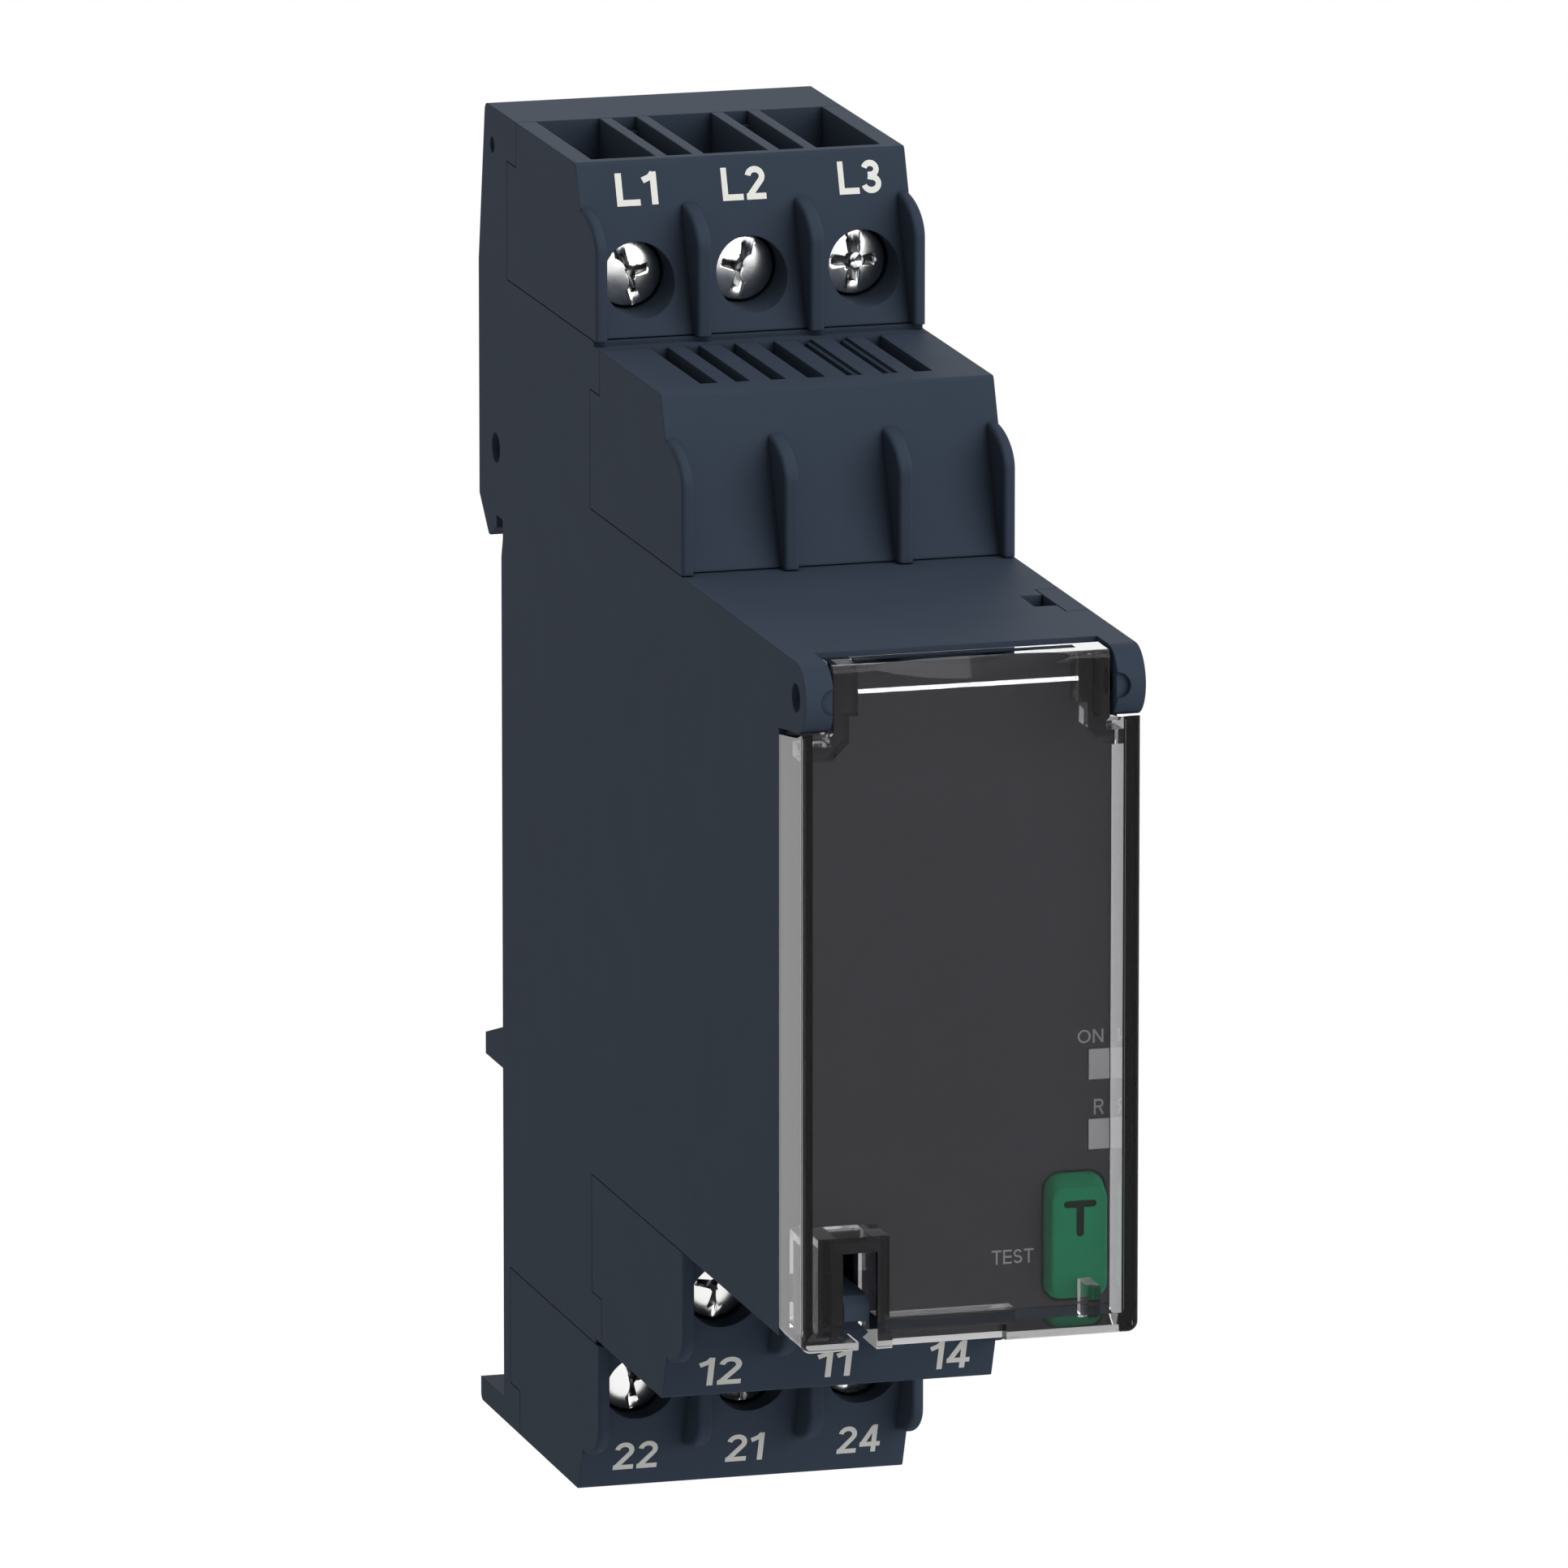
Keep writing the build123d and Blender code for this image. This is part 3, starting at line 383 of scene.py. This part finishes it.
# Terminal numbers. Pad-printed on the slanted front of each shroud, off-white above and pale grey below,
# and upright from the front. The plain face is drawn here with a pen of even width.
def ink(name, colour):
    """Printed ink: a flat colour with faint unevenness."""
    material, tree, skin = shader(name)
    thinner = [0.93 * part for part in colour]
    tone = mixed(tree, speckle(tree, 900.0, 3.0), thinner, colour)
    tree.links.new(tone, skin.inputs["Base Color"])
    skin.inputs["Roughness"].default_value = 0.7
    skin.inputs["Specular IOR Level"].default_value = 0.2
    return material


degrees_a_step = 12
fewest_steps = 4


def bow(x, y, wide, tall, start, end):
    """Points along part of an ellipse, from one angle to another in degrees."""
    count = max(fewest_steps, round(abs(end - start) / degrees_a_step))
    turns = [radians(start + (end - start) * i / count) for i in range(count + 1)]
    return [(x + wide * cos(turn), y + tall * sin(turn)) for turn in turns]


# each letter: its width, and its pen strokes in heights of a capital
letters = {
    "L": (0.70, [[(0.095, 1), (0.095, 0)], [(0.0, 0.085), (0.70, 0.085)]]),
    "1": (0.42, [[(0.325, 1), (0.325, 0)], [(0.33, 0.97), (0.22, 0.84), (0.0, 0.745)]]),
    "2": (
        0.66,
        [
            bow(0.325, 0.70, 0.235, 0.21, 172, -38) + [(0.10, 0.11)],
            [(0.0, 0.085), (0.66, 0.085)],
        ],
    ),
    "3": (
        0.66,
        [
            bow(0.315, 0.73, 0.21, 0.18, 165, -90) + [(0.22, 0.55)],
            [(0.22, 0.52)] + bow(0.315, 0.29, 0.25, 0.205, 90, -168),
        ],
    ),
    "4": (
        0.70,
        [
            [(0.44, 0.93), (0.07, 0.27)],
            [(0.0, 0.29), (0.70, 0.29)],
            [(0.485, 1), (0.485, 0)],
        ],
    ),
    "O": (0.86, [bow(0.43, 0.5, 0.36, 0.42, -4, 184), bow(0.43, 0.5, 0.36, 0.42, 176, 364)]),
    "N": (
        0.72,
        [
            [(0.08, 1), (0.08, 0)],
            [(0.10, 0.94), (0.62, 0.06)],
            [(0.64, 1), (0.64, 0)],
        ],
    ),
    "R": (
        0.76,
        [
            [(0.08, 1), (0.08, 0)],
            [(0.08, 0.92), (0.42, 0.92)]
            + bow(0.42, 0.71, 0.22, 0.21, 80, -80)
            + [(0.42, 0.5), (0.08, 0.5)],
            [(0.38, 0.5), (0.68, 0.02)],
        ],
    ),
    "T": (0.72, [[(0.0, 0.92), (0.72, 0.92)], [(0.36, 1), (0.36, 0)]]),
    "E": (
        0.64,
        [[(0.08, 1), (0.08, 0)]] + [[(0.0, level), (0.64, level)] for level in (0.92, 0.5, 0.08)],
    ),
    "S": (0.68, [bow(0.34, 0.71, 0.24, 0.21, 20, 270) + bow(0.34, 0.29, 0.26, 0.21, 90, -160)]),
}


def ribbon(points, pen):
    """Outline of a pen stroke of even width along some points, anticlockwise."""
    path = [Vector(point) for point in points]
    left, right = [], []
    for i, here in enumerate(path):
        ahead = path[min(i + 1, len(path) - 1)] - path[max(i - 1, 0)]
        across = Vector((-ahead.y, ahead.x)).normalized() * pen / 2
        left.append(here + across)
        right.append(here - across)
    return right + left[::-1]


triangles_inside = 1  # the kind of result to ask for


def filled(outlines, apart):
    """Fill closed outlines, holes left open: the corners, and three of them for each triangle."""
    spots = [spot for outline in outlines for spot in outline]
    rings, first = [], 0
    for outline in outlines:
        rings.append(list(range(first, first + len(outline))))
        first += len(outline)
    corners, _, faces, _, _, sources = delaunay_2d_cdt(spots, [], rings, triangles_inside, apart)
    return corners, [face for face, inside in zip(faces, sources) if inside]


letter_gap = 0.11


def lettering(words, pen):
    """Flat letters in heights of a capital: corners, triangles and total width."""
    corners, triangles, reach = [], [], 0.0
    for letter in words:
        wide, strokes = letters[letter]
        spots, faces = filled([ribbon(stroke, pen) for stroke in strokes], apart=1e-5)
        start = len(corners)
        corners += [Vector((spot.x + reach, spot.y)) for spot in spots]
        triangles += [[start + i for i in face] for face in faces]
        reach += wide + letter_gap
    return corners, triangles, reach - letter_gap


ink_lift = 0.02 * MM
ink_thickness = 1.5 * ink_lift


def printed(name, words, spot, up, width, height, paint, pen):
    """A printed word centred on a spot, reading along X, with its letters' tops towards `up`."""
    corners, triangles, reach = lettering(words, pen)
    stretch = width / reach
    across, upward = Vector((1, 0, 0)), Vector(up).normalized()
    centre = Vector(spot) + across.cross(upward) * ink_lift
    places = [
        centre + across * (corner.x - reach / 2) * stretch + upward * (corner.y - 0.5) * height
        for corner in corners
    ]
    mesh = bpy.data.meshes.new(name)
    mesh.from_pydata(places, [], triangles)
    mesh.materials.append(paint)
    mark = placed(name, mesh)
    film = mark.modifiers.new("film", "SOLIDIFY")
    film.thickness = ink_thickness
    film.offset = -1
    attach(mark, "housing")


white_ink = ink("off_white_ink", (0.70, 0.70, 0.66))
grey_ink = ink("pale_grey_ink", (0.50, 0.50, 0.48))
number_height = 2.2 * MM
brow_back = 5.2 * MM
face_lean = 4.2 / 11.1
face_slope = (1 + face_lean**2) ** 0.5
# left and right end of each number, in mm
number_ends = {
    "upper_terminal": {"L1": (-8.68, -5.87), "L2": (-1.46, 1.52), "L3": (6.53, 9.43)},
    "lower_front": {"12": (-8.92, -6.0), "11": (-0.85, 1.49), "14": (6.85, 9.6)},
    "lower_rear": {"22": (-9.03, -6.0), "21": (-1.25, 1.35), "24": (6.5, 9.46)},
}
# each shroud: 1 where its face looks up and -1 down, its ink and pen, and the drop from its brow in mm
for shroud, sign, paint, pen, drop in (
    ("upper_terminal", 1, white_ink, 0.19, 1.92),
    ("lower_front", -1, grey_ink, 0.165, 1.90),
    ("lower_rear", -1, grey_ink, 0.165, 2.45),
):
    low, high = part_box(f"{shroud}_shroud")
    brow = high.z if sign > 0 else low.z
    middle_z = brow - sign * drop * MM / face_slope
    middle_y = low.y + brow_back - face_lean * abs(brow - middle_z)
    for mark, (left, right) in number_ends[shroud].items():
        printed(
            f"number_{mark}",
            mark,
            spot=((left + right) / 2 * MM, middle_y, middle_z),
            up=(0, sign * face_lean, 1),
            width=(right - left) * MM,
            height=number_height,
            paint=paint,
            pen=pen,
        )


# Inner parts. Green boards, sealed relays, transformer, capacitor and switch stand in the closed housing.
# Only the vents and wire entries show a little of them.
board_green = moulded_plastic(
    "solder_mask", dark=(0.010, 0.070, 0.030), light=(0.014, 0.085, 0.036), rough=0.35, edge=0.05
)
case_black = moulded_plastic(
    "black_case", dark=(0.012, 0.012, 0.013), light=(0.018, 0.018, 0.019), rough=0.5
)
dress(
    board_green,
    "main_board",
    "front_board",
    "upper_terminal_board",
    "front_terminal_board",
    "rear_terminal_board",
)
dress(
    case_black,
    "output_relay_1",
    "output_relay_2",
    "transformer",
    "capacitor",
    "push_switch",
    "switch_plunger",
)


# Spring of the rail clip. Wound from round spring steel, it stands on the housing behind the panel of the
# clip. The real one shortens as the clip is drawn down; this copy is fixed to the housing at one length.
spring_steel = metal("spring_steel", colour=(0.55, 0.55, 0.56), rough=0.25)
coil_mesh = mesh_of(merged_form("clip_spring"), "clip_spring_coil")
coil_mesh.materials.append(spring_steel)
coil_mesh.set_sharp_from_angle(angle=sharp_angle)
coil = placed("clip_spring_coil", coil_mesh)
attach(coil, "housing")
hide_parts("clip_spring")
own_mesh(coil)


# Front panel. A charcoal plate, smooth and matt, that closes the nose behind the cover. Small grey words
# name the lamps and the button.
panel_plastic = moulded_plastic(
    "charcoal_panel", dark=(0.060, 0.059, 0.069), light=(0.064, 0.063, 0.073), rough=0.5, depth=0.004
)
dress(panel_plastic, "front_panel")
panel_ink = ink("panel_ink", (0.40, 0.40, 0.40))
panel_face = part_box("front_panel")[0].y
# each word: its left and right, and its bottom and top, in mm
for mark, (left, right), (bottom, top) in (
    ("ON", (8.55, 10.3), (-4.46, -3.56)),
    ("R", (9.65, 10.35), (-9.2, -8.17)),
    ("TEST", (2.85, 5.65), (-18.7, -17.75)),
):
    printed(
        f"word_{mark}",
        mark,
        spot=((left + right) / 2 * MM, panel_face, (bottom + top) / 2 * MM),
        up=(0, 0, 1),
        width=(right - left) * MM,
        height=(top - bottom) * MM,
        paint=panel_ink,
        pen=0.13,
    )


# Light pipes. Milky acrylic windows at the panel's right edge, each over a lamp of the same milky resin
# that is soldered to the front board.
milky, tree, skin = shader("milky_light_pipe")
milk = mixed(tree, speckle(tree, 700.0, 2.0), (0.52, 0.52, 0.52), (0.58, 0.58, 0.58))
tree.links.new(milk, skin.inputs["Base Color"])
skin.inputs["Roughness"].default_value = 0.4
dress(milky, "upper_light_pipe", "lower_light_pipe", "upper_lamp", "lower_lamp")


# Test button. A satin green cap that stands through the panel, moulded with a T sunk into its face to mark
# what it does. The switch behind it springs it back.
button_plastic = moulded_plastic(
    "green_button", dark=(0.010, 0.275, 0.125), light=(0.013, 0.300, 0.138), rough=0.42, depth=0.003
)
# the same green made far darker, as shade painted into the sunk T
engraving_painted_shade = moulded_plastic(
    "green_engraving_painted_shade", dark=(0.003, 0.022, 0.011), light=(0.004, 0.026, 0.013), rough=0.6, depth=0.003
)
button_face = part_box("test_button")[0].y
engraving_depth = 0.2 * MM
tool_ahead = 1 * MM
enlarged = 1000
hair = 0.01 * MM
bar_left, bar_right = 7.26 * MM, 9.43 * MM
bar_z, bar_height = -14.70 * MM, 0.45 * MM
stem_x, stem_width = 8.35 * MM, 0.5 * MM
stem_foot = -16.85 * MM


def slot_outline(start, end, thick, steps=8):
    """Anticlockwise outline of a straight slot with round ends between two points."""
    along = (Vector(end) - Vector(start)).normalized()
    side = Vector((-along.y, along.x))
    outline = []
    for tip, way in ((Vector(end), 1), (Vector(start), -1)):
        for i in range(steps + 1):
            turn = -pi / 2 + pi * i / steps
            outline.append(tip + way * (along * cos(turn) + side * sin(turn)) * thick / 2)
    return outline


bar_end = bar_height / 2
slots = [
    slot_outline((bar_left + bar_end, bar_z), (bar_right - bar_end, bar_z), bar_height),
    slot_outline((stem_x, bar_z), (stem_x, stem_foot + stem_width / 2), stem_width),
]
large_slots = [[spot * enlarged for spot in outline] for outline in slots]
flat_spots, flat_faces = filled(large_slots, apart=1e-4)
tool_form = bmesh.new()
corners = [
    tool_form.verts.new((spot.x / enlarged, button_face - tool_ahead, spot.y / enlarged))
    for spot in flat_spots
]
faces = [tool_form.faces.new([corners[i] for i in face]) for face in flat_faces]
drawn = bmesh.ops.extrude_face_region(tool_form, geom=faces)
moved = [item for item in drawn["geom"] if isinstance(item, bmesh.types.BMVert)]
bmesh.ops.translate(tool_form, verts=moved, vec=(0, tool_ahead + engraving_depth, 0))
bmesh.ops.recalc_face_normals(tool_form, faces=tool_form.faces)
tool = placed("engraving_tool", mesh_of(tool_form, "engraving_tool"))

cap = placed("button_cap", mesh_of(merged_form("test_button"), "button_cap"))
sink = cap.modifiers.new("sink", "BOOLEAN")
sink.object = tool
sink.solver = "EXACT"
sunk = finished(cap)
cap.modifiers.clear()
cap.data = sunk
bpy.data.objects.remove(tool)
sunk.materials.clear()
sunk.materials.append(button_plastic)
sunk.materials.append(engraving_painted_shade)
# faces sunk in the T take the dark green copy: painted shade
for face in sunk.polygons:
    spot = face.center
    in_bar = bar_left < spot.x < bar_right and abs(spot.z - bar_z) < bar_end + hair
    in_stem = abs(spot.x - stem_x) < stem_width / 2 + hair and stem_foot - hair < spot.z < bar_z
    below_face = button_face + hair < spot.y < button_face + 2 * engraving_depth
    face.material_index = 1 if below_face and (in_bar or in_stem) else 0
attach(cap, "button")
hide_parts("test_button")


# Clear cover. Injection-moulded polycarbonate with a little smoke in it, polished, and hinged on two pins.
# It looks clear through a wall and dark along one. A trace of the moulding's flow shows in its gloss.
clear_plastic, tree, skin = shader("smoked_polycarbonate")
skin.inputs["Base Color"].default_value = (0.94, 0.94, 0.95, 1)
skin.inputs["Transmission Weight"].default_value = 1.0
skin.inputs["IOR"].default_value = 1.5
skin.inputs["Specular Tint"].default_value = (0.35, 0.35, 0.35, 1)
flow = spread(tree, speckle(tree, 220.0, 2.0), 0.01, 0.04)
tree.links.new(flow, skin.inputs["Roughness"])
smoke = node(tree, "ShaderNodeVolumeAbsorption", density=260.0, color=(0.05, 0.05, 0.05, 1))
tree.links.new(smoke.outputs["Volume"], tree.nodes["Material Output"].inputs["Volume"])
dress(clear_plastic, "clear_cover")


# Studio. A pale floor far below and a white room, seen as white by the camera and in gloss and glass. Soft
# lamps stand at the front right, above and behind, and a narrow strip lamp draws the line on the rolled top
# of the cover.
def seen_directly(tree, unseen, seen):
    """A value that is `seen` to camera, glossy and glass rays and `unseen` to those that light things."""
    path = node(tree, "ShaderNodeLightPath")
    add = node(tree, "ShaderNodeMath", operation="ADD")
    more = node(tree, "ShaderNodeMath", operation="ADD", use_clamp=True)
    tree.links.new(path.outputs["Is Camera Ray"], add.inputs[0])
    tree.links.new(path.outputs["Is Glossy Ray"], add.inputs[1])
    tree.links.new(add.outputs[0], more.inputs[0])
    tree.links.new(path.outputs["Is Transmission Ray"], more.inputs[1])
    return spread(tree, more.outputs[0], unseen, seen)


floor_half = 6.0
floor_level = -0.45
floor_mesh = bpy.data.meshes.new("floor")
floor_corners = [
    (x * floor_half, y * floor_half, floor_level) for x, y in ((-1, -1), (1, -1), (1, 1), (-1, 1))
]
floor_mesh.from_pydata(floor_corners, [], [(0, 1, 2, 3)])
floor = placed("floor", floor_mesh)
floor_paint, tree, skin = shader("pale_floor")
skin.inputs["Base Color"].default_value = (0.8, 0.8, 0.8, 1)
skin.inputs["Roughness"].default_value = 0.9
glow = node(tree, "ShaderNodeEmission")
blend = node(tree, "ShaderNodeMixShader")
tree.links.new(seen_directly(tree, unseen=0.0, seen=1.0), blend.inputs["Fac"])
tree.links.new(skin.outputs["BSDF"], blend.inputs[1])
tree.links.new(glow.outputs["Emission"], blend.inputs[2])
tree.links.new(blend.outputs["Shader"], tree.nodes["Material Output"].inputs["Surface"])
floor_mesh.materials.append(floor_paint)

world = bpy.data.worlds.new("studio")
bpy.context.scene.world = world
world.use_nodes = True
room = world.node_tree
sky = room.nodes["Background"]
sky.inputs["Color"].default_value = (1, 1, 1, 1)
room.links.new(seen_directly(room, unseen=0.45, seen=1.0), sky.inputs["Strength"])


def lamp(name, spot, aim, size, power, depth=None):
    """A soft lamp at a spot, turned to its aim: a square, or a strip where its depth is given."""
    data = bpy.data.lights.new(name, "AREA")
    data.shape = "RECTANGLE"
    data.size = size
    data.size_y = depth or size
    data.energy = power
    light = placed(name, data)
    light.location = spot
    light.rotation_euler = (Vector(aim) - Vector(spot)).to_track_quat("-Z", "Y").to_euler()


centre = (0, -0.03, 0)
lamp("key", spot=(0.55, -0.85, 0.50), aim=centre, size=1.1, power=11.5)
lamp("top", spot=(-0.1, 0.05, 0.9), aim=centre, size=0.7, power=1.0)
lamp("back", spot=(0.15, 1.0, 0.2), aim=centre, size=0.9, power=5.0)
lamp("strip", spot=(0.27, -0.26, 0.9), aim=(0.27, -0.07, 0.02), size=0.3, power=1.4, depth=0.05)


# Camera. A very long lens, as the photograph was taken with, at the front left and a little above, looking
# down on the object.
turn = radians(15.879)
tilt = radians(12.627)
distance = 1.29723
look = Vector((sin(turn) * cos(tilt), cos(turn) * cos(tilt), -sin(tilt)))
aim = Vector((7.714, -2.550, -1.527)) * MM
camera_data = bpy.data.cameras.new("camera")
camera_data.sensor_width = 36.0
camera_data.lens = 442.48
camera_data.clip_end = 20.0
camera = placed("camera", camera_data)
camera.location = aim - look * distance
camera.rotation_euler = look.to_track_quat("-Z", "Y").to_euler()
bpy.context.scene.camera = camera
bpy.context.scene.view_settings.view_transform = "Standard"
